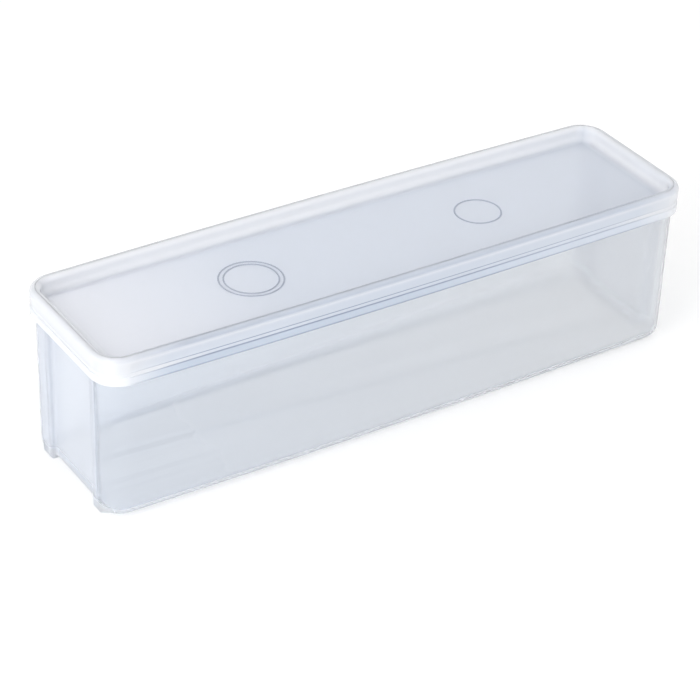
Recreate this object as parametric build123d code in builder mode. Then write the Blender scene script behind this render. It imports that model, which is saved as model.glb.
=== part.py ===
from build123d import *
import os

# A long covered keeper for vegetables: a clear thin-walled tub and a milky lid
# that presses down over its rim. The origin is the middle of the base, +X runs
# along the length and +Z is up. All sizes are in millimetres.

# Size of the closed container
lid_length = 330.0
lid_width = 84.0  # across the corners, where the long sides begin
side_swell = 1.8  # each long side bows out this far at mid length
total_height = 90.0
lid_corner = 14.0

# Lid
lid_wall = 1.2
skirt_height = 14.0
rim_width = 5.2  # from the skirt's face to the sunken panel
panel_drop = 7.0  # the panel lies this far below the rim
rim_outer_round = 2.4
rim_inner_round = 2.2
panel_round = 2.6
plug_round = 1.0
skirt_edge_round = 0.4
groove_drop = 7.5
groove_height = 2.1
groove_depth = 0.35

# Plain rings moulded on the panel
ring_spacing = 130.0
ring_height = 0.4
ring_bead = 0.8
wide_ring_radius = 16.0
inner_ring_radius = 13.6
narrow_ring_radius = 12.0

# Tub
tub_wall = 1.2
floor_thickness = 1.6
overhang = 2.4  # the skirt's face stands out this far from the tub
base_draft = 0.4  # each wall leans in this far down at the base
base_round = 8.0
seat_gap = 0.3  # between the tub's rim and the lid above it
rim_round = 0.4
lip_reach = 0.8
lip_height = 1.7
lip_round = 0.3

# Hollow in each end wall, and the small feet beside it
grip_width = 42.6
grip_depth = 3.5
grip_round = 1.5
post_round = 0.6  # inside the wall; outside it is a wall's thickness more
foot_width = 7.0
foot_length = 7.0
foot_setback = 0.4
foot_round = 2.4
foot_edge_round = 2.0

same_place = 0.01  # edges and faces this near to a position are on it

# Heights worked out from the sizes above
skirt_bottom = total_height - skirt_height
rim_top = total_height - lid_wall - seat_gap
panel_top = total_height - panel_drop
panel_bottom = panel_top - lid_wall
plug_inset = rim_width - lid_wall
groove_top = total_height - groove_drop
lip_bottom = groove_top - lip_height
grip_top = lip_bottom - 2 * tub_wall
tub_half_length = lid_length / 2 - overhang


def outline(inset):
    # Rounded rectangle, inset from the lid's face, with bowed long sides
    half_length = lid_length / 2 - inset
    half_width = lid_width / 2 - inset
    swell = half_width + side_swell
    with BuildSketch() as shape:
        with BuildLine():
            ThreePointArc((-half_length, -half_width), (0, -swell), (half_length, -half_width))
            Line((half_length, -half_width), (half_length, half_width))
            ThreePointArc((half_length, half_width), (0, swell), (-half_length, half_width))
            Line((-half_length, half_width), (-half_length, -half_width))
        make_face()
        fillet(shape.vertices(), lid_corner - inset)
    return shape.sketch


def tub_inset(height):
    # The tub's walls lean in a little towards the base
    return overhang + base_draft * (1 - height / rim_top)


def grip_blocks(grow):
    # Upright blocks that hollow both end walls, grown by a wall for the inside.
    # A wider strip outside the wall leaves the posts beside them a rounded edge.
    block_reach = grip_depth + grow
    block_width = grip_width + 2 * grow
    mouth = tub_half_length - grow
    mouth_round = post_round + tub_wall - grow
    with BuildPart() as blocks:
        with BuildSketch(Plane.XY.offset(-grow)):
            with Locations((-tub_half_length, 0), (tub_half_length, 0)):
                RectangleRounded(2 * block_reach, block_width, grip_round + grow)
            with Locations((-mouth - block_reach, 0), (mouth + block_reach, 0)):
                Rectangle(2 * block_reach, block_width + 4 * mouth_round)
        extrude(amount=grip_top + 2 * grow)
        upright = blocks.edges().filter_by(Axis.Z)
        mouth_edges = upright.filter_by(lambda e: abs(abs(e.center().X) - mouth) < same_place)
        post_edges = mouth_edges.filter_by(lambda e: abs(e.center().Y) < block_width / 2 + mouth_round)
        fillet(post_edges, mouth_round)
    return blocks.part


def flat_at(piece, height):
    # The level face at this height
    flats = piece.faces().filter_by(Axis.Z)
    return flats.filter_by(lambda f: abs(f.center().Z - height) < same_place)[0]


# Feet: short legs at the corner posts, where the base edge is not rounded away
foot_centre_x = tub_half_length - base_draft - foot_setback - foot_length / 2
foot_centre_y = grip_width / 2 + foot_width / 2
with BuildPart() as feet:
    with BuildSketch():
        with GridLocations(2 * foot_centre_x, 2 * foot_centre_y, 2, 2):
            RectangleRounded(foot_length, foot_width, foot_round)
    extrude(amount=base_round)
    fillet(feet.edges().group_by(Axis.Z)[0], foot_edge_round)

# Snap lip: a flat ring that stands out under the lid's skirt
with BuildPart() as lip:
    with BuildSketch(Plane.XY.offset(lip_bottom)):
        add(outline(overhang - lip_reach))
    extrude(amount=lip_height)
    fillet(lip.edges().group_by(Axis.Z)[0] + lip.edges().group_by(Axis.Z)[-1], lip_round)

# Space inside the tub, with the base edge rounded to match the outside
with BuildPart() as cavity:
    with BuildSketch(Plane.XY.offset(floor_thickness)):
        add(outline(tub_inset(floor_thickness) + tub_wall))
    with BuildSketch(Plane.XY.offset(total_height)):
        add(outline(tub_inset(total_height) + tub_wall))
    loft(ruled=True)
    fillet(cavity.edges().group_by(Axis.Z)[0], base_round - tub_wall)
    add(grip_blocks(tub_wall), mode=Mode.SUBTRACT)

# Tub: outer body, feet, snap lip, hollowed ends and the space inside
with BuildPart() as tub:
    with BuildSketch():
        add(outline(tub_inset(0)))
    with BuildSketch(Plane.XY.offset(rim_top)):
        add(outline(tub_inset(rim_top)))
    loft(ruled=True)
    fillet(tub.edges().group_by(Axis.Z)[0], base_round)
    add(feet.part)
    add(grip_blocks(0), mode=Mode.SUBTRACT)
    add(lip.part)
    add(cavity.part, mode=Mode.SUBTRACT)
    fillet(tub.edges().group_by(Axis.Z)[-1], rim_round)

tub.part.label = "tub"

# Lid: an upside-down channel round the edge and a panel sunk inside it
with BuildPart() as lid:
    with BuildSketch(Plane.XY.offset(skirt_bottom)):
        add(outline(0))
    extrude(amount=skirt_height)
    fillet(lid.edges().group_by(Axis.Z)[-1], rim_outer_round)
    with BuildSketch(Plane.XY.offset(skirt_bottom)):
        add(outline(lid_wall))
    extrude(amount=skirt_height - lid_wall, mode=Mode.SUBTRACT)
    with BuildSketch(Plane.XY.offset(panel_bottom)):
        add(outline(plug_inset))
    extrude(amount=total_height - panel_bottom)
    with BuildSketch(Plane.XY.offset(panel_top)):
        add(outline(rim_width))
    extrude(amount=panel_drop, mode=Mode.SUBTRACT)

    # Soft edges: round the panel, under the plug and along the skirt
    fillet(lid.faces().sort_by(Axis.Z)[-1].inner_wires()[0].edges(), rim_inner_round)
    fillet(flat_at(lid, panel_top).outer_wire().edges(), panel_round)
    fillet(flat_at(lid, panel_bottom).outer_wire().edges(), plug_round)
    fillet(lid.edges().group_by(Axis.Z)[0], skirt_edge_round)

    # Groove round the skirt at the height of the tub's lip
    with BuildSketch(Plane.XY.offset(groove_top - groove_height)):
        add(outline(-lid_wall))
        add(outline(groove_depth), mode=Mode.SUBTRACT)
    extrude(amount=groove_height, mode=Mode.SUBTRACT)

    # Plain rings on the panel
    with BuildSketch(Plane.XY.offset(panel_top)):
        with Locations((-ring_spacing / 2, 0)):
            Circle(wide_ring_radius)
            Circle(wide_ring_radius - ring_bead, mode=Mode.SUBTRACT)
            Circle(inner_ring_radius)
            Circle(inner_ring_radius - ring_bead, mode=Mode.SUBTRACT)
        with Locations((ring_spacing / 2, 0)):
            Circle(narrow_ring_radius)
            Circle(narrow_ring_radius - ring_bead, mode=Mode.SUBTRACT)
    extrude(amount=ring_height)

lid.part.label = "lid"

os.makedirs("parts", exist_ok=True)
export_step(tub.part, "parts/tub.step")
export_step(lid.part, "parts/lid.step")
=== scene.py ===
import bpy
import math
from mathutils import Matrix, Vector


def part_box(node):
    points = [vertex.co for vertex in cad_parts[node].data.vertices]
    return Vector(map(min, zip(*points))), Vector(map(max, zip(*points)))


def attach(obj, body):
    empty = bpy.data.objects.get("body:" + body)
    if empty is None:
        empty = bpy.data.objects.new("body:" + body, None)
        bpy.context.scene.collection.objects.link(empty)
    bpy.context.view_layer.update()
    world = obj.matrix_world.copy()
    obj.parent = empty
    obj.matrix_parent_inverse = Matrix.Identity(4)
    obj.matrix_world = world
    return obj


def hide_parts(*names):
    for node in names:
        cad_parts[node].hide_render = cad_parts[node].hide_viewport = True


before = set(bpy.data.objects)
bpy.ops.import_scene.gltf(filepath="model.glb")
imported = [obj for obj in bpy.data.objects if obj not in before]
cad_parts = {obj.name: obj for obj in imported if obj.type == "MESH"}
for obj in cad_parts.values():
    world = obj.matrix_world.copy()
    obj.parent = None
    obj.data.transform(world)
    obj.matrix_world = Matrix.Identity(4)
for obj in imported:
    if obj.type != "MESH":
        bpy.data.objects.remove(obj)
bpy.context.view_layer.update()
lidLow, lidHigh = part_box("lid")
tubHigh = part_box("tub")[1]
print("frame loaded:", ", ".join(sorted(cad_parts)))

# Shape seen from above, shared by the tub and the lid. Lengths are in metres.
plan = {
    "sideSwell": 0.0018,  # each long side bows out this far at mid length
    "cornerRadius": 0.014,
    # Shares of the side's arc and of the corner's, closer together at both ends of the corner
    "sideSteps": (0, 0.12, 0.24, 0.36, 0.48, 0.6, 0.72, 0.83, 0.92, 0.98),
    "cornerSteps": (0, 0.03, 0.08, 0.15, 0.23, 0.32, 0.41, 0.5, 0.59, 0.68, 0.77, 0.85, 0.92, 0.97, 1),
}


def quarterOutline(inset, endPoints):
    # Middle of the front to the middle of the right end, this far inside the lid's face.
    # endPoints turns the y where the corner ends into (depth, y) pairs along the end wall.
    swell = plan["sideSwell"]
    halfLength = lidHigh.x - inset
    halfWidth = lidHigh.y - swell - inset
    radius = plan["cornerRadius"] - inset
    sweepRadius = (halfLength ** 2 + swell ** 2) / (2 * swell)
    sweepY = sweepRadius - halfWidth - swell
    cornerX = halfLength - radius
    cornerY = sweepY - math.sqrt((sweepRadius - radius) ** 2 - cornerX ** 2)
    tangent = math.atan2(cornerX, sweepY - cornerY)
    points = []
    for step in plan["sideSteps"]:
        turn = step * tangent
        points.append((sweepRadius * math.sin(turn), sweepY - sweepRadius * math.cos(turn)))
    for step in plan["cornerSteps"]:
        turn = tangent + step * (math.pi / 2 - tangent)
        points.append((cornerX + radius * math.sin(turn), cornerY - radius * math.cos(turn)))
    points += [(halfLength - depth, y) for depth, y in endPoints(cornerY)]
    return points


def wholeLoop(quarter, z):
    # The same in both halves of the length and of the width, anticlockwise from above
    loop = list(quarter)
    loop += [(x, -y) for x, y in reversed(quarter[:-1])]
    loop += [(-x, -y) for x, y in quarter[1:]]
    loop += [(-x, y) for x, y in reversed(quarter[1:-1])]
    return [(x, y, z) for x, y in loop]


def arc(centre, radius, start, end, steps):
    # (inset, z) points round a centre, angles in degrees from the inset axis
    turns = [math.radians(start + (end - start) * i / steps) for i in range(steps + 1)]
    return [(centre[0] + radius * math.cos(t), centre[1] + radius * math.sin(t)) for t in turns]


def quarterTurns(steps):
    # The angles of a quarter circle, in even steps
    return [math.pi / 2 * i / steps for i in range(steps + 1)]


def skin(name, rings):
    # Joins each loop of points to the next and closes the first and the last with a face
    count = len(rings[0])
    faces = [tuple(reversed(range(count)))]
    for low in range(0, count * (len(rings) - 1), count):
        for i in range(count):
            j = (i + 1) % count
            faces.append((low + i, low + j, low + count + j, low + count + i))
    last = count * (len(rings) - 1)
    faces.append(tuple(range(last, last + count)))
    mesh = bpy.data.meshes.new(name)
    mesh.from_pydata([point for ring in rings for point in ring], [], faces)
    mesh.shade_smooth()
    mesh.polygons[0].use_smooth = mesh.polygons[-1].use_smooth = False  # the two flats stay flat
    piece = bpy.data.objects.new(name, mesh)
    bpy.context.collection.objects.link(piece)
    return piece


# Lid: a turned-down skirt, a narrow rim and a panel sunk inside it

lid = {
    "wall": 0.0012,
    "rimWidth": 0.0052,  # from the skirt's face to the sunken panel
    "panelDrop": 0.007,
    "outerRound": 0.0024,
    "innerRound": 0.0022,
    "panelRound": 0.0026,
    "plugRound": 0.001,
    "channelRound": 0.0006,
    "edgeRound": 0.0004,
    "grooveDrop": 0.0075,  # from the rim down to the groove
    "grooveHeight": 0.0021,
    "grooveDepth": 0.00035,
    "grooveRound": 0.00015,
    "support": 0.0004,  # a loop this far from each round keeps the walls and flats flat
    "panelSupport": 0.0016,  # and the panel has a second one this far in
    "roundSteps": {"plug": 5, "channel": 3, "edge": 3, "groove": 2, "outer": 7, "inner": 5, "panel": 6},
    "endSteps": (0.02, 0.1, 0.25, 0.4, 0.55, 0.7, 0.85, 1),  # from the corner to the end's middle
}
panelTop = lidHigh.z - lid["panelDrop"]
grooveTop = lidHigh.z - lid["grooveDrop"]
grooveBottom = grooveTop - lid["grooveHeight"]


def lidEnd(cornerY):
    return [(0, cornerY * (1 - step)) for step in lid["endSteps"]]


def undersideSection():
    # (inset, z) from under the panel, round the plug and the channel to the inside of the skirt
    wall, near, steps = lid["wall"], lid["support"], lid["roundSteps"]
    plug, tip, panelBottom = lid["rimWidth"] - wall, lid["plugRound"], panelTop - wall
    section = [(plug + tip + lid["panelSupport"], panelBottom), (plug + tip + near, panelBottom)]
    section += arc((plug + tip, panelBottom + tip), tip, 270, 180, steps["plug"])
    section.append((plug, panelBottom + tip + near))
    ceiling, small = lidHigh.z - wall, lid["channelRound"]
    section.append((plug, ceiling - small - near))
    section += arc((plug - small, ceiling - small), small, 0, 90, steps["channel"])
    section += arc((wall + small, ceiling - small), small, 90, 180, steps["channel"])
    section.append((wall, ceiling - small - near))
    return section


def skirtSection():
    # (inset, z) down inside the skirt, round its lower edge and up its face, past the groove
    wall, near, bottom, steps = lid["wall"], lid["support"], lidLow.z, lid["roundSteps"]
    edge, deep, soft = lid["edgeRound"], lid["grooveDepth"], lid["grooveRound"]
    section = [(wall, bottom + edge + near)]
    section += arc((wall - edge, bottom + edge), edge, 0, -90, steps["edge"])
    section += arc((edge, bottom + edge), edge, 270, 180, steps["edge"])
    section.append((0, bottom + edge + near))
    section += arc((soft, grooveBottom - soft), soft, 180, 90, steps["groove"])
    section += [(deep, grooveBottom), (deep, grooveBottom + soft)]
    section += [(deep, grooveTop - soft), (deep, grooveTop)]
    section += arc((soft, grooveTop + soft), soft, 270, 180, steps["groove"])
    return section


def rimSection():
    # (inset, z) over the rim and down to the panel's top
    top, near, steps = lidHigh.z, lid["support"], lid["roundSteps"]
    outer, inner, foot, rim = lid["outerRound"], lid["innerRound"], lid["panelRound"], lid["rimWidth"]
    section = [(0, top - outer - near)]
    section += arc((outer, top - outer), outer, 180, 90, steps["outer"])
    section += [(outer + near, top), (rim - inner - near, top)]
    section += arc((rim - inner, top - inner), inner, 90, 0, steps["inner"])
    section += [(rim, top - inner - near), (rim, panelTop + foot + near)]
    section += arc((rim + foot, panelTop + foot), foot, 180, 270, steps["panel"])
    section += [(rim + foot + near, panelTop), (rim + foot + lid["panelSupport"], panelTop)]
    return section


lidSection = undersideSection() + skirtSection() + rimSection()
lidPiece = skin("lidShell", [wholeLoop(quarterOutline(inset, lidEnd), z) for inset, z in lidSection])
print("lid skinned:", len(lidPiece.data.polygons), "faces")

# Tub: a thin wall with a rounded base, a hollow in each end and a foot under each post

tub = {
    "overhang": 0.0024,  # the lid's skirt stands out this far from the tub
    "draft": 0.0004,  # each wall leans in this far down at the base
    "wall": 0.0012,
    "floor": 0.0016,
    "baseRound": 0.008,
    "footRound": 0.0022,
    "rimRound": 0.0004,
    "gripHalf": 0.0213,  # half the width of the hollow in each end wall
    "gripDepth": 0.0035,
    "gripRound": 0.0015,
    "postRound": 0.0018,
    "coveDrop": 0.0024,  # from the lip down to the hollow's top
    "coveHeight": 0.0016,  # the hollow's top comes out to the wall over this height
    "lipReach": 0.0008,
    "lipRound": 0.0003,
    "lipMiddle": 0.3,  # the middle of the lip's round is this share of its radius from each flat
    "lipHeight": 0.0017,
    "support": 0.0005,  # a loop this far from each round keeps the walls and flats flat
    "flatSupport": 0.0015,  # and the base and the floor have a second one this far in
    "baseSteps": 12,
    "gripSteps": 5,
    "coveSteps": 5,
    "rimSteps": 3,
    "wallSteps": (0.02, 0.25, 0.5, 0.75, 0.98),  # from the base's round up to the hollow's top
    "postSteps": (0.1, 0.4, 0.7, 0.9),  # from the corner to the hollow
    "hollowSteps": (0.06, 0.2, 0.4, 0.6, 0.8, 1),  # from the hollow's side to its middle
    "footBlend": (1, 0.9, 0.72, 0.45, 0.2, 0.06),  # how far the foot runs into the corner
}
lipTop = grooveTop
lipBottom = lipTop - tub["lipHeight"]
coveTop = lipBottom - tub["coveDrop"]
coveBottom = coveTop - tub["coveHeight"]


def tubEnd(grow, share, offsets):
    # (depth, y) along the end wall. grow is 0 outside and a wall's thickness inside, share is
    # how much of the hollow shows, offsets say how far the base has come in, off and at the foot.
    half = tub["gripHalf"] + grow
    post, corner, deep = tub["postRound"] - grow, tub["gripRound"] + grow, tub["gripDepth"]
    turns = quarterTurns(tub["gripSteps"])
    hollow = [(post * (1 - math.cos(a)), -half - post + post * math.sin(a)) for a in turns]
    hollow += [(deep - corner + corner * math.sin(a), -half + corner * (1 - math.cos(a))) for a in turns]
    first, last = hollow[0][1], hollow[-1][1]
    plainOff, footOff = offsets

    def along(cornerY):
        pairs = [(footOff, cornerY + (first - cornerY) * step) for step in tub["postSteps"]]
        for i, (depth, y) in enumerate(hollow):
            spread = first + (last - first) * i / (len(hollow) - 1)
            floorOff = footOff if i < len(turns) else plainOff
            pairs.append((max(floorOff, depth * share), spread + (y - spread) * share))
        pairs += [(max(plainOff, deep * share), last * (1 - step)) for step in tub["hollowSteps"]]
        return pairs
    return along


def roundOff(radius, height):
    # How far a rounded lower edge has come in at this height above its flat
    if height >= radius:
        return 0
    return radius - math.sqrt(radius ** 2 - (radius - height) ** 2)


def tubRing(z, grow, share, extra=0, outward=0):
    # One loop of the tub's wall. extra moves it in along a flat, and outward moves it out, as at
    # the lip. share is how much of the end wall's hollow shows at this height.
    lean = tub["draft"] * (1 - z / tubHigh.z)
    inset = tub["overhang"] + lean + grow
    level = z - (tub["floor"] if grow else 0)
    plainOff = roundOff(tub["baseRound"] - grow, level) + extra
    footOff = plainOff if grow else roundOff(tub["footRound"], level) + extra
    steps = len(plan["sideSteps"]) + len(plan["cornerSteps"])
    plainQuarter = quarterOutline(inset + plainOff - outward, lambda cornerY: [])
    footQuarter = quarterOutline(inset + footOff - outward, lambda cornerY: [])
    for back, weight in enumerate(tub["footBlend"], 1):
        i = steps - back
        plainQuarter[i] = tuple(p + (f - p) * weight for p, f in zip(plainQuarter[i], footQuarter[i]))
    ends = quarterOutline(inset - outward, tubEnd(grow, share, (plainOff, footOff)))[steps:]
    return wholeLoop(plainQuarter + ends, z)


def outerRings():
    # From the flat under the base, up the outside and over the hollow's top
    base = tub["baseRound"]
    rings = [tubRing(0, 0, 1, extra=tub["flatSupport"]), tubRing(0, 0, 1, extra=tub["support"])]
    rings += [tubRing(base * (1 - math.cos(turn)), 0, 1) for turn in quarterTurns(tub["baseSteps"])]
    rings += [tubRing(base + (coveBottom - base) * share, 0, 1) for share in tub["wallSteps"]]
    for turn in quarterTurns(tub["coveSteps"]):
        rings.append(tubRing(coveTop - tub["coveHeight"] * (1 - math.sin(turn)), 0, math.cos(turn)))
    return rings


def lipRings():
    # Out under the lip, round its two edges and back to the wall
    small, reach = tub["lipRound"], tub["lipReach"]
    middle = small * tub["lipMiddle"]
    edge = ((0, small), (middle, middle), (small, 0))  # distances from the flat and from the full reach
    rings = [tubRing(lipBottom - small, 0, 0), tubRing(lipBottom, 0, 0)]
    rings += [tubRing(lipBottom + up, 0, 0, outward=reach - short) for up, short in edge]
    rings += [tubRing(lipTop - down, 0, 0, outward=reach - short) for down, short in reversed(edge)]
    rings += [tubRing(lipTop, 0, 0), tubRing(lipTop + small, 0, 0)]
    return rings


def rimRings():
    # Over the rim, from the outside to the inside
    top, edge, near, wall = tubHigh.z, tub["rimRound"], tub["support"], tub["wall"]
    turns = quarterTurns(tub["rimSteps"])
    rounds = [(top - edge * (1 - math.sin(turn)), edge * (1 - math.cos(turn))) for turn in turns]
    rings = [tubRing(top - edge - near, 0, 0)]
    rings += [tubRing(z, 0, 0, outward=-off) for z, off in rounds]
    rings += [tubRing(z, wall, 0, outward=off) for z, off in reversed(rounds)]
    rings.append(tubRing(top - edge - near, wall, 0))
    return rings


def innerRings():
    # Down the inside, past the hollow's back, and in over the floor
    wall, floor, coveHeight = tub["wall"], tub["floor"], tub["coveHeight"]
    inside = tub["baseRound"] - wall
    lowest = floor + inside
    rings = []
    for turn in reversed(quarterTurns(tub["coveSteps"])):
        rings.append(tubRing(coveTop + wall - coveHeight * (1 - math.sin(turn)), wall, math.cos(turn)))
    for share in reversed(tub["wallSteps"]):
        rings.append(tubRing(lowest + (coveBottom - lowest) * share, wall, 1))
    for turn in reversed(quarterTurns(tub["baseSteps"])):
        rings.append(tubRing(floor + inside * (1 - math.cos(turn)), wall, 1))
    rings.append(tubRing(floor, wall, 1, extra=tub["support"]))
    rings.append(tubRing(floor, wall, 1, extra=tub["flatSupport"]))
    return rings


tubPiece = skin("tubShell", outerRings() + lipRings() + rimRings() + innerRings())
print("tub skinned:", len(tubPiece.data.polygons), "faces")

# Ring marks on the panel, made by nodes: each is a bead swept round a circle

ringMarks = {
    "Spacing": 0.13,
    "Wide Radius": 0.0156,
    "Inner Radius": 0.0132,
    "Narrow Radius": 0.0116,
    "Bead Width": 0.0008,
    "Bead Height": 0.0004,
    "Panel Height": panelTop,
}
ringSides = {"bead": 10, "ring": 96}
ringPlaces = {"Wide Radius": -0.5, "Inner Radius": -0.5, "Narrow Radius": 0.5}  # shares of the spacing
beadLift = 0.00002  # keeps the bead's underside clear of the panel


class Growth:
    # A geometry tree that is added to one node at a time
    def __init__(self, name):
        self.tree = bpy.data.node_groups.new(name, "GeometryNodeTree")
        self.tree.is_modifier = True

    def node(self, kind, settings=None, inputs=None):
        made = self.tree.nodes.new(kind)
        for key, value in (settings or {}).items():
            setattr(made, key, value)
        for key, value in (inputs or {}).items():
            if isinstance(value, bpy.types.NodeSocket):
                self.tree.links.new(value, made.inputs[key])
            else:
                made.inputs[key].default_value = value
        return made

    def math(self, operation, first, second):
        made = self.node("ShaderNodeMath", {"operation": operation}, {0: first, 1: second})
        return made.outputs[0]

    def circle(self, sides, radius):
        made = self.node("GeometryNodeCurvePrimitiveCircle", inputs={"Resolution": sides, "Radius": radius})
        return made.outputs["Curve"]

    def triple(self, x, y, z):
        return self.node("ShaderNodeCombineXYZ", inputs={0: x, 1: y, 2: z}).outputs[0]

    def moved(self, shape, how, amount):
        return self.node("GeometryNodeTransform", inputs={"Geometry": shape, how: amount}).outputs[0]


def ringTree(sizes, material):
    growth = Growth("panelRings")
    tree = growth.tree
    for name in sizes:
        tree.interface.new_socket(name, in_out="INPUT", socket_type="NodeSocketFloat")
    tree.interface.new_socket("Geometry", in_out="OUTPUT", socket_type="NodeSocketGeometry")
    given = growth.node("NodeGroupInput").outputs
    unitCircle = growth.circle(ringSides["bead"], 0.5)
    bead = growth.moved(unitCircle, "Scale", growth.triple(given["Bead Width"], given["Bead Height"], 1.0))
    lift = growth.math("ADD", given["Panel Height"], growth.math("MULTIPLY", given["Bead Height"], 0.5))
    lift = growth.math("ADD", lift, beadLift)
    joined = growth.node("GeometryNodeJoinGeometry")
    for name, share in ringPlaces.items():
        path = growth.circle(ringSides["ring"], given[name])
        swept = growth.node("GeometryNodeCurveToMesh", inputs={"Curve": path, "Profile Curve": bead})
        spot = growth.triple(growth.math("MULTIPLY", given["Spacing"], share), 0.0, lift)
        tree.links.new(growth.moved(swept.outputs["Mesh"], "Translation", spot), joined.inputs[0])
    smooth = growth.node("GeometryNodeSetShadeSmooth", inputs={"Geometry": joined.outputs[0]})
    real = growth.node("GeometryNodeRealizeInstances", inputs={"Geometry": smooth.outputs[0]})
    paint = {"Geometry": real.outputs[0], "Material": material}
    painted = growth.node("GeometryNodeSetMaterial", inputs=paint)
    growth.node("NodeGroupOutput", inputs={"Geometry": painted.outputs[0]})
    return tree


def grown(name, tree, sizes):
    # Runs the tree on an empty object and keeps the result as a plain mesh
    holder = bpy.data.objects.new(name, bpy.data.meshes.new(name + "Start"))
    bpy.context.collection.objects.link(holder)
    modifier = holder.modifiers.new("grow", "NODES")
    modifier.node_group = tree
    for socket in tree.interface.items_tree:
        if socket.in_out == "INPUT":
            modifier[socket.identifier] = sizes[socket.name]
    ready = holder.evaluated_get(bpy.context.evaluated_depsgraph_get())
    mesh = bpy.data.meshes.new_from_object(ready)
    mesh.name = name
    holder.modifiers.clear()
    holder.data = mesh
    return holder


# Materials: sums on sockets are written as sums


class Signal:
    def __init__(self, recipe, socket):
        self.recipe, self.socket = recipe, socket

    def math(self, operation, first, second=0.0):
        return self.recipe.node("ShaderNodeMath", {"operation": operation}, {0: first, 1: second})

    def __add__(self, other):
        return self.math("ADD", self, other)

    def __radd__(self, other):
        return self.math("ADD", other, self)

    def __sub__(self, other):
        return self.math("SUBTRACT", self, other)

    def __rsub__(self, other):
        return self.math("SUBTRACT", other, self)

    def __mul__(self, other):
        return self.math("MULTIPLY", self, other)

    def __rmul__(self, other):
        return self.math("MULTIPLY", other, self)

    def __truediv__(self, other):
        return self.math("DIVIDE", self, other)

    def __rtruediv__(self, other):
        return self.math("DIVIDE", other, self)

    def absolute(self):
        return self.math("ABSOLUTE", self)

    def smaller(self, other):
        return self.math("MINIMUM", self, other)

    def clamped(self):
        # Held between 0 and 1
        return self.recipe.node("ShaderNodeClamp", {}, {"Value": self})

    def fading(self, over):
        # 1 where this is 0 or less, and 0 where it has reached the length given
        return (1 - self / over).clamped()


def between(share, first, second):
    # The first number where the share is 0 and the second where it is 1
    return first + share * (second - first)


class Recipe:
    # A material's nodes, or the world's, added one at a time
    def __init__(self, name, tree=None):
        if tree is None:
            self.material = bpy.data.materials.new(name)
            self.material.use_nodes = True
            tree = self.material.node_tree
        self.tree = tree
        self.tree.nodes.clear()

    def node(self, kind, settings=None, inputs=None, output=0):
        made = self.tree.nodes.new(kind)
        for key, value in (settings or {}).items():
            setattr(made, key, value)
        for key, value in (inputs or {}).items():
            if isinstance(value, Signal):
                self.tree.links.new(value.socket, made.inputs[key])
            else:
                made.inputs[key].default_value = value
        return Signal(self, made.outputs[output])

    def mixed(self, share, first, second):
        # A colour between two others, which are this node's sockets 6 and 7, with its result at 2
        return self.node("ShaderNodeMix", {"data_type": "RGBA"}, {0: share, 6: first, 7: second}, 2)

    def noise(self, where, scale, detail):
        pattern = {"Vector": where, "Scale": scale, "Detail": detail}
        return self.node("ShaderNodeTexNoise", inputs=pattern)

    def bumps(self, height, strength, depth):
        relief = {"Strength": strength, "Distance": depth, "Height": height}
        return self.node("ShaderNodeBump", inputs=relief)

    def finish(self, surface, kind="ShaderNodeOutputMaterial"):
        end = self.tree.nodes.new(kind)
        self.tree.links.new(surface.socket, end.inputs["Surface"])


def place(recipe):
    # Where a point is on the piece, and its x, y and z in metres
    where = recipe.node("ShaderNodeTexCoord", output="Object")
    return where, [recipe.node("ShaderNodeSeparateXYZ", inputs={0: where}, output=i) for i in range(3)]


milkBend = 1.49  # sets the gloss of the milky share of a plastic


def plastic(recipe, values, tint, milk, milkiness, rough, bump):
    # Clear plastic with some milk in it. Besides what it bends, part of the lamps' light goes
    # straight through, as it does through a thin wall.
    glassy = recipe.node("ShaderNodeBsdfPrincipled", inputs={
        "Base Color": tint, "Transmission Weight": values["transmission"], "IOR": values["bend"],
        "Roughness": rough, "Normal": bump})
    milky = recipe.node("ShaderNodeBsdfPrincipled", inputs={
        "Base Color": milk, "IOR": milkBend, "Roughness": rough, "Normal": bump})
    seen = recipe.node("ShaderNodeMixShader", inputs={0: milkiness, 1: glassy, 2: milky})
    fromLamp = recipe.node("ShaderNodeLightPath", output="Is Shadow Ray")
    window = recipe.node("ShaderNodeBsdfTransparent", inputs={"Color": values["lampShare"]})
    recipe.finish(recipe.node("ShaderNodeMixShader", inputs={0: fromLamp, 1: seen, 2: window}))
    return recipe.material


clear = {
    "tint": (0.89, 0.92, 0.965, 1),
    "farTint": (0.885, 0.9, 0.92, 1),  # greyer towards the right-hand end
    "milk": (0.9, 0.91, 0.93, 1),
    "leastMilk": 0.02,
    "mostMilk": 0.17,  # at the right-hand end
    "endTone": (0.73, 0.755, 0.815, 1),  # the milk in the end walls
    "endMilk": 0.38,  # the end walls are frosted, up to the front posts
    "endFade": 0.002,  # and this much further round the frosting is gone
    "transmission": 0.94,
    "bend": 1.2,
    "lampShare": (0.5, 0.51, 0.52, 1),
    "polish": 0.03,
    "haze": 0.2,  # how much rougher the right-hand end is
    "leftHaze": 0.2,  # how much rougher the left-hand end wall is
    "baseHaze": 0.25,  # how much rougher the rounded base is
    "cloudScale": 40.0,
    "cloudDetail": 3.0,
    "cloudLow": 0.7,  # the haze varies from this share of itself
    "cloudRange": 0.6,  # by this much
    "waveScale": 25.0,
    "waveDetail": 1.0,
    "waveDepth": 0.002,
    "ripple": 0.01,
}


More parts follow.
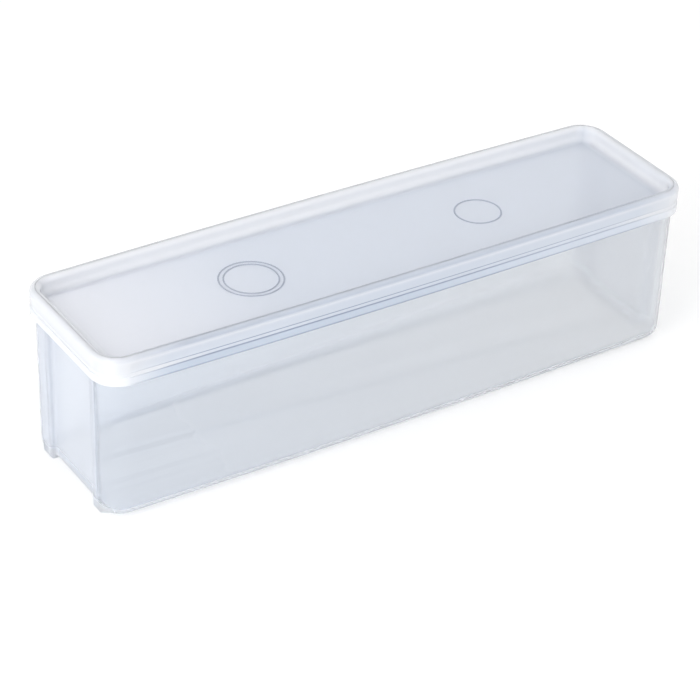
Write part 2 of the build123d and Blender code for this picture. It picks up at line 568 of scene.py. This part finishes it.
def clearPlastic():
    recipe = Recipe("clearPlastic")
    where, (x, y, z) = place(recipe)
    fogged = (x / (tubHigh.x * 2) + 0.5).clamped()  # 0 at the left-hand end and 1 at the right
    inFromEnd = tubHigh.x - x.absolute()
    onEnd = (inFromEnd - tub["gripDepth"] - tub["wall"]).fading(clear["endFade"])
    pastPost = 0 - y - tub["gripHalf"] - 2 * tub["postRound"]  # how far forward of the front posts
    onFrost = onEnd * pastPost.fading(clear["endFade"])
    cloud = recipe.noise(where, clear["cloudScale"], clear["cloudDetail"])
    rough = clear["polish"] + fogged * clear["haze"] * (clear["cloudLow"] + cloud * clear["cloudRange"])
    rough = rough + z.fading(tub["baseRound"]) * clear["baseHaze"]
    rough = rough + onEnd * (1 - fogged) * clear["leftHaze"]
    milkiness = between(fogged, clear["leastMilk"], clear["mostMilk"])
    milkiness = between(onFrost, milkiness, clear["endMilk"])
    tint = recipe.mixed(fogged, clear["tint"], clear["farTint"])
    milk = recipe.mixed(onFrost, clear["milk"], clear["endTone"])
    wave = recipe.noise(where, clear["waveScale"], clear["waveDetail"])
    bump = recipe.bumps(wave, clear["ripple"], clear["waveDepth"])
    return plastic(recipe, clear, tint, milk, milkiness, rough, bump)


# A tint is what comes through, and a milk is what the milk in it throws back
frosted = {
    "panelTint": (0.88, 0.91, 0.965, 1),
    "panelMilk": (0.8, 0.84, 0.92, 1),
    "leftPaintedLightTint": (0.99, 0.98, 1, 1),  # painted light: the panel's left-hand end is lighter in tint and milk, lifting the left rim's shadow
    "leftPaintedLightMilk": (0.94, 0.95, 1, 1),
    "leftPaintedLightReach": 0.11,  # the painted light has faded out this far along
    "rimTint": (0.96, 0.97, 0.99, 1),
    "rimMilk": (0.9, 0.915, 0.95, 1),
    "innerWallPaintedLightMilk": (0.935, 0.947, 0.98, 1),  # painted light: the rim's inner walls are lighter than the rest of the rim
    "rimReach": 0.0055,  # the rim's look holds this far in from the skirt's face
    "rimFade": 0.006,  # and is gone this much further in
    "sideTint": (0.84, 0.885, 0.95, 1),  # painted shade: the skirt's long sides and the rim's top along the front, darker than the lamp-lit ends
    "sideShadeMilk": (0.74, 0.79, 0.88, 1),
    "hemTint": (0.72, 0.79, 0.89, 1),  # below the groove, most at the left
    "hemMilk": (0.52, 0.6, 0.72, 1),
    "endReach": 0.042,  # the rim's top and the hem have their full look this far in from each end
    "skirtReach": 0.0016,  # the skirt's looks go this far in from its face
    "line": (0.38, 0.43, 0.54, 1),  # painted shade: dark lines along the groove and the skirt's lower edge
    "lineHalf": 0.00045,  # half their height, and how softly the skirt's looks begin
    "lineHeavy": 2,  # the groove's top line and the lower one are this much stronger
    "lineNear": 1.6,  # how dark the painted shade lines are at the left-hand end
    "lineFar": 0.4,
    "ringShade": 0.6,  # painted shade: how far the raised rings go towards the dark lines' colour
    "nearShare": 0.27,  # how milky the panel is at the left-hand end
    "farShare": 0.42,  # and at the right-hand end
    "rimShare": 0.58,
    "innerShare": 0.63,
    "transmission": 0.92,
    "bend": 1.49,
    "lampShare": (0.5, 0.515, 0.54, 1),
    "polish": 0.1,
    "cloud": 0.06,
    "cloudScale": 30.0,
    "cloudDetail": 3.0,
    "grain": 0.05,
    "grainScale": 900.0,
    "grainDetail": 2.0,
    "grainDepth": 0.0003,
}


def nearShadeLine(z, height):
    # 1 on a level line and 0 from lineHalf away
    return (z - height).absolute().fading(frosted["lineHalf"])


# Painted shade along the groove's two edges and the skirt's lower edge
def skirtShadeLines(z, along):
    heavy = frosted["lineHeavy"]
    lines = nearShadeLine(z, grooveTop) * heavy + nearShadeLine(z, grooveBottom)
    lines = lines + nearShadeLine(z, lidLow.z + lid["edgeRound"]) * heavy
    return (lines * between(along, frosted["lineNear"], frosted["lineFar"])).clamped()


def lidPlaces(x, y, z):
    # Masks that are 1 on one place of the lid, and fade to 0 elsewhere
    along = (x / (lidHigh.x * 2) + 0.5).clamped()
    inFromEnd = lidHigh.x - x.absolute()
    inward = inFromEnd.smaller(lidHigh.y - y.absolute())
    alongSide = (inFromEnd / frosted["endReach"]).clamped()
    onTop = ((z - lidHigh.z + lid["innerRound"]) * (2 / lid["innerRound"])).clamped()
    onFront = (0.5 - y / lidHigh.y).clamped()  # 1 along the front side and 0 along the back
    shadedFrontTop = onTop * onFront * alongSide
    onSkirt = ((frosted["skirtReach"] - inward) / frosted["lineHalf"]).clamped()
    onSkirt = onSkirt * (inFromEnd / plan["cornerRadius"]).clamped()
    belowRim = ((lidHigh.z - lid["outerRound"] / 2 - z) / lid["outerRound"]).clamped()
    belowGroove = ((grooveBottom - z) / frosted["lineHalf"]).clamped()
    return {
        "along": along,  # 0 at the left-hand end and 1 at the right
        # painted light: lighter colour at the panel's left-hand end, lifting the left rim's shadow
        "left": (x + lidHigh.x).fading(frosted["leftPaintedLightReach"]),
        "rim": (inward - frosted["rimReach"]).fading(frosted["rimFade"]) * (1 - shadedFrontTop),
        "inside": ((inward - lid["outerRound"]) / lid["outerRound"]).clamped(),
        # painted shade on the skirt's long sides and the front rim's top
        "side": (onSkirt * belowRim + shadedFrontTop).clamped(),
        "hem": onSkirt * belowGroove * (1 - along) * alongSide,
        "line": skirtShadeLines(z, along) * onSkirt,
    }


def frostedPlastic(name, shade):
    # shade is how far the whole piece goes towards the painted shade lines' colour
    recipe = Recipe(name)
    where, (x, y, z) = place(recipe)
    on = lidPlaces(x, y, z)
    panelShare = between(on["along"], frosted["nearShare"], frosted["farShare"])
    rimShare = between(on["inside"], frosted["rimShare"], frosted["innerShare"])
    milkiness = between(on["rim"], panelShare, rimShare)
    # The rim's inner walls get a lighter milk, which is painted light
    rimMilk = recipe.mixed(on["inside"], frosted["rimMilk"], frosted["innerWallPaintedLightMilk"])
    looks = (
        (on["left"], frosted["leftPaintedLightTint"], frosted["leftPaintedLightMilk"]),
        (on["rim"], frosted["rimTint"], rimMilk),
        (on["side"], frosted["sideTint"], frosted["sideShadeMilk"]),
        (on["hem"], frosted["hemTint"], frosted["hemMilk"]),
        (on["line"], frosted["line"], frosted["line"]),
        (shade, frosted["line"], frosted["line"]),
    )
    tint, milk = frosted["panelTint"], frosted["panelMilk"]
    for mask, lookTint, lookMilk in looks:
        tint = recipe.mixed(mask, tint, lookTint)
        milk = recipe.mixed(mask, milk, lookMilk)
    cloud = recipe.noise(where, frosted["cloudScale"], frosted["cloudDetail"])
    rough = frosted["polish"] + cloud * frosted["cloud"]
    grain = recipe.noise(where, frosted["grainScale"], frosted["grainDetail"])
    bump = recipe.bumps(grain, frosted["grain"], frosted["grainDepth"])
    return plastic(recipe, frosted, tint, milk, milkiness, rough, bump)


lidPiece.data.materials.append(frostedPlastic("frostedPlastic", 0.0))
tubPiece.data.materials.append(clearPlastic())
ringFinish = frostedPlastic("ringPlastic", frosted["ringShade"])
print("plastics mixed for the lid, the tub and the rings")
ringPiece = grown("panelRings", ringTree(ringMarks, ringFinish), ringMarks)
print("rings grown:", len(ringPiece.data.polygons), "faces")

for piece, node in ((lidPiece, "lid"), (tubPiece, "tub")):
    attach(piece, node)
    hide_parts(node)
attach(ringPiece, "lid")
print("pieces ride on their bodies")

# Floor, light and camera

studio = {
    "floorSize": 12.0,
    "floorShade": (0.8, 0.8, 0.8, 1),
    "floorGlow": 0.3,  # what the camera sees besides the lit floor, so that it comes out white
    "skyLight": 0.75,
    "white": (1, 1, 1, 1),
}


def shownPlainly(recipe):
    # 1 for what the camera sees, also in a reflection or through glass, and 0 for other light
    rays = ("Is Camera Ray", "Is Glossy Ray", "Is Transmission Ray")
    seen = [recipe.node("ShaderNodeLightPath", output=ray) for ray in rays]
    return (seen[0] + seen[1] + seen[2]).clamped()


def studioFloor():
    half = studio["floorSize"] / 2
    corners = [(-half, -half, 0), (half, -half, 0), (half, half, 0), (-half, half, 0)]
    mesh = bpy.data.meshes.new("studioFloor")
    mesh.from_pydata(corners, [], [(0, 1, 2, 3)])
    floor = bpy.data.objects.new("studioFloor", mesh)
    bpy.context.collection.objects.link(floor)
    recipe = Recipe("studioFloor")
    strength = shownPlainly(recipe) * studio["floorGlow"]
    matt = recipe.node("ShaderNodeBsdfDiffuse", inputs={"Color": studio["floorShade"]})
    glow = recipe.node("ShaderNodeEmission", inputs={"Color": studio["white"], "Strength": strength})
    recipe.finish(recipe.node("ShaderNodeAddShader", inputs={0: matt, 1: glow}))
    mesh.materials.append(recipe.material)


def studioSky():
    world = bpy.data.worlds.new("studioSky")
    bpy.context.scene.world = world
    world.use_nodes = True
    recipe = Recipe("studioSky", world.node_tree)
    strength = between(shownPlainly(recipe), studio["skyLight"], 1)
    surface = recipe.node("ShaderNodeBackground", inputs={"Color": studio["white"], "Strength": strength})
    recipe.finish(surface, "ShaderNodeOutputWorld")


lamps = {
    "windowLeft": {"from": (-1.4, -0.4, 0.6), "size": 1.0, "power": 12.8},
    "softFront": {"from": (0.5, -1.6, 0.7), "size": 1.2, "power": 9.0},
}


def studioLamps():
    aim = Vector((0, 0, lidLow.z / 2))
    for name, lamp in lamps.items():
        light = bpy.data.lights.new(name, "AREA")
        light.size, light.energy = lamp["size"], lamp["power"]
        holder = bpy.data.objects.new(name, light)
        holder.location = lamp["from"]
        holder.visible_glossy = False  # soft light with no hard glare on the panel
        holder.rotation_euler = (aim - Vector(lamp["from"])).to_track_quat("-Z", "Y").to_euler()
        bpy.context.collection.objects.link(holder)


# The photograph's view: its angles, and where its picture centre lies in the 700 pixel frame
viewpoint = {
    "turn": 33.401,  # degrees from the front towards the left end
    "climb": 32.862,
    "roll": 2.077,
    "distance": 1.211709,
    "aim": (-0.012948, 0, 0.030303),
    "focalPixels": 2463.237,
    "centrePixel": (341.386, 343.33),
    "framePixels": 700,
    "sensor": 36.0,
    "nearest": 0.01,
    "farthest": 50,
}


def studioCamera():
    turn, climb, roll = (math.radians(viewpoint[name]) for name in ("turn", "climb", "roll"))
    back = Vector((-math.sin(turn) * math.cos(climb), -math.cos(turn) * math.cos(climb), math.sin(climb)))
    right = (-back).cross(Vector((0, 0, 1))).normalized()
    up = right.cross(-back)
    across = right * math.cos(roll) + up * math.sin(roll)
    above = up * math.cos(roll) - right * math.sin(roll)
    data = bpy.data.cameras.new("photoView")
    frameSize = viewpoint["framePixels"]
    data.sensor_width = viewpoint["sensor"]
    data.lens = viewpoint["focalPixels"] / frameSize * viewpoint["sensor"]
    data.shift_x = (frameSize / 2 - viewpoint["centrePixel"][0]) / frameSize
    data.shift_y = (viewpoint["centrePixel"][1] - frameSize / 2) / frameSize
    data.clip_start, data.clip_end = viewpoint["nearest"], viewpoint["farthest"]
    camera = bpy.data.objects.new("photoView", data)
    turned = Matrix((across, above, back)).transposed().to_4x4()
    spot = Vector(viewpoint["aim"]) + back * viewpoint["distance"]
    camera.matrix_world = Matrix.Translation(spot) @ turned
    bpy.context.collection.objects.link(camera)
    bpy.context.scene.camera = camera


studioFloor()
studioSky()
studioLamps()
studioCamera()
bpy.context.scene.view_settings.view_transform = "Standard"
print("floor, sky, lamps and camera set")
